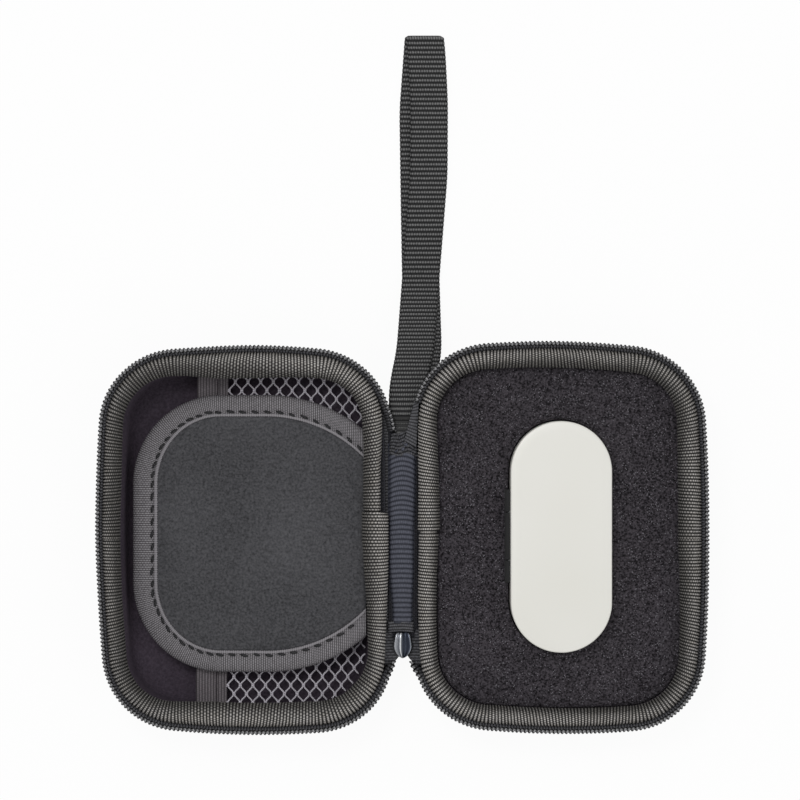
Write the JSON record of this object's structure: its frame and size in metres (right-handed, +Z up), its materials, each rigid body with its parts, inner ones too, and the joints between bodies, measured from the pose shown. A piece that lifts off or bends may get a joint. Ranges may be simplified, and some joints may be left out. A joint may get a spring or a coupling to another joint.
{
  "type": "earbud case",
  "caption": "Small zipped hard case opened flat like a book, with a foam insert holding a charging box, a mesh pocket under a bound flap, and a wrist strap.",
  "frame": {"origin": "centre of the face that the base half rests on, on the table", "axes": "+Z up, +Y along the spine towards the wrist strap, +X from the spine across the base half"},
  "size_m": [0.1678, 0.1931, 0.0274],
  "materials": {
    "cover_weave": "fine woven nylon, matt",
    "shell_foam": "moulded foam, matt",
    "lining_fabric": "brushed knit, matt",
    "ribbed_tape": "ribbed binding tape, satin",
    "zip_tape": "woven tape, matt",
    "zip_nylon": "extruded nylon coil, glossy",
    "insert_foam": "fine-celled foam, matt",
    "mesh_thread": "knitted thread, satin",
    "elastic_tape": "ribbed elastic, matt",
    "panel_fabric": "fine woven panel, matt",
    "flap_tape": "ribbed binding tape, satin",
    "black_thread": "twisted thread, satin",
    "spine_ribbing": "ribbed tape, matt",
    "slider_metal": "gunmetal, half gloss",
    "webbing": "grosgrain webbing, satin",
    "box_plastic": "moulded, glossy",
    "cradle_plastic": "moulded, fine texture",
    "battery_wrap": "plastic sleeve",
    "circuit_board": "solder mask, satin",
    "gold_contact": "gold plated",
    "steel_part": "drawn"
  },
  "bodies": {
    "base": {"base_cover": "cover_weave", "base_shell": "shell_foam", "base_lining": "lining_fabric", "base_piping": "ribbed_tape", "base_zip_tape": "zip_tape", "base_zip_coil": "zip_nylon", "foam_insert": "insert_foam", "slot_pad": "insert_foam"},
    "lid": {"lid_cover": "cover_weave", "lid_shell": "shell_foam", "lid_lining": "lining_fabric", "lid_piping": "ribbed_tape", "lid_zip_tape": "zip_tape", "lid_zip_coil": "zip_nylon", "mesh_net": "mesh_thread", "mesh_hem": "elastic_tape", "pocket_elastic": "elastic_tape"},
    "flap": {"flap_panel": "panel_fabric", "flap_binding": "flap_tape", "flap_stitches": "black_thread"},
    "spine": {"spine_band": "spine_ribbing", "spine_cover": "cover_weave"},
    "slider": {"slider_body": "slider_metal", "slider_bridge": "slider_metal"},
    "pull": {"pull_tab": "slider_metal"},
    "strap": {"wrist_strap": "webbing", "strap_tack": "black_thread"},
    "box": {"box_shell": "box_plastic", "box_cradle": "cradle_plastic", "box_battery": "battery_wrap", "box_circuit_board": "circuit_board", "charge_contacts": "gold_contact", "charge_socket": "steel_part", "box_hinge_pin": "steel_part", "box_pads": "insert_foam"},
    "box_lid": {"box_lid": "box_plastic", "box_lid_liner": "cradle_plastic"}
  },
  "joints": [
    {"name": "spine_fold", "type": "hinge", "parent": "base", "child": "spine", "pos_m": [-0.03875, 0, 0.0206], "axis": [0, 1, 0], "range_deg": [0, 90]},
    {"name": "lid_fold", "type": "hinge", "parent": "spine", "child": "lid", "pos_m": [-0.04755, 0, 0.0206], "axis": [0, 1, 0], "range_deg": [0, 90]},
    {"name": "flap_lift", "type": "hinge", "parent": "lid", "child": "flap", "pos_m": [-0.05574, 0, 0.0205], "axis": [0, -1, 0], "range_deg": [-80, 0]},
    {"name": "zip_travel", "type": "slide", "parent": "spine", "child": "slider", "axis": [0, 1, 0], "range_m": [-0.009, 0]},
    {"name": "pull_swing", "type": "hinge", "parent": "slider", "child": "pull", "pos_m": [-0.04315, -0.0295, 0.0144], "axis": [1, 0, 0], "range_deg": [-80, 80]},
    {"name": "strap_swing", "type": "hinge", "parent": "spine", "child": "strap", "pos_m": [-0.04315, 0.0294, 0.021], "axis": [-1, 0, 0], "range_deg": [-80, 0]},
    {"name": "box_lift", "type": "slide", "parent": "base", "child": "box", "axis": [0, 0, -1], "range_m": [-0.03, 0]},
    {"name": "box_open", "type": "hinge", "parent": "box", "child": "box_lid", "pos_m": [-0.01385, 0.0008, 0.0196], "axis": [0, 1, 0], "range_deg": [-90, 0]}
  ],
  "couplings": [
    {"joint": "lid_fold", "follows": "spine_fold", "ratio": 1}
  ]
}
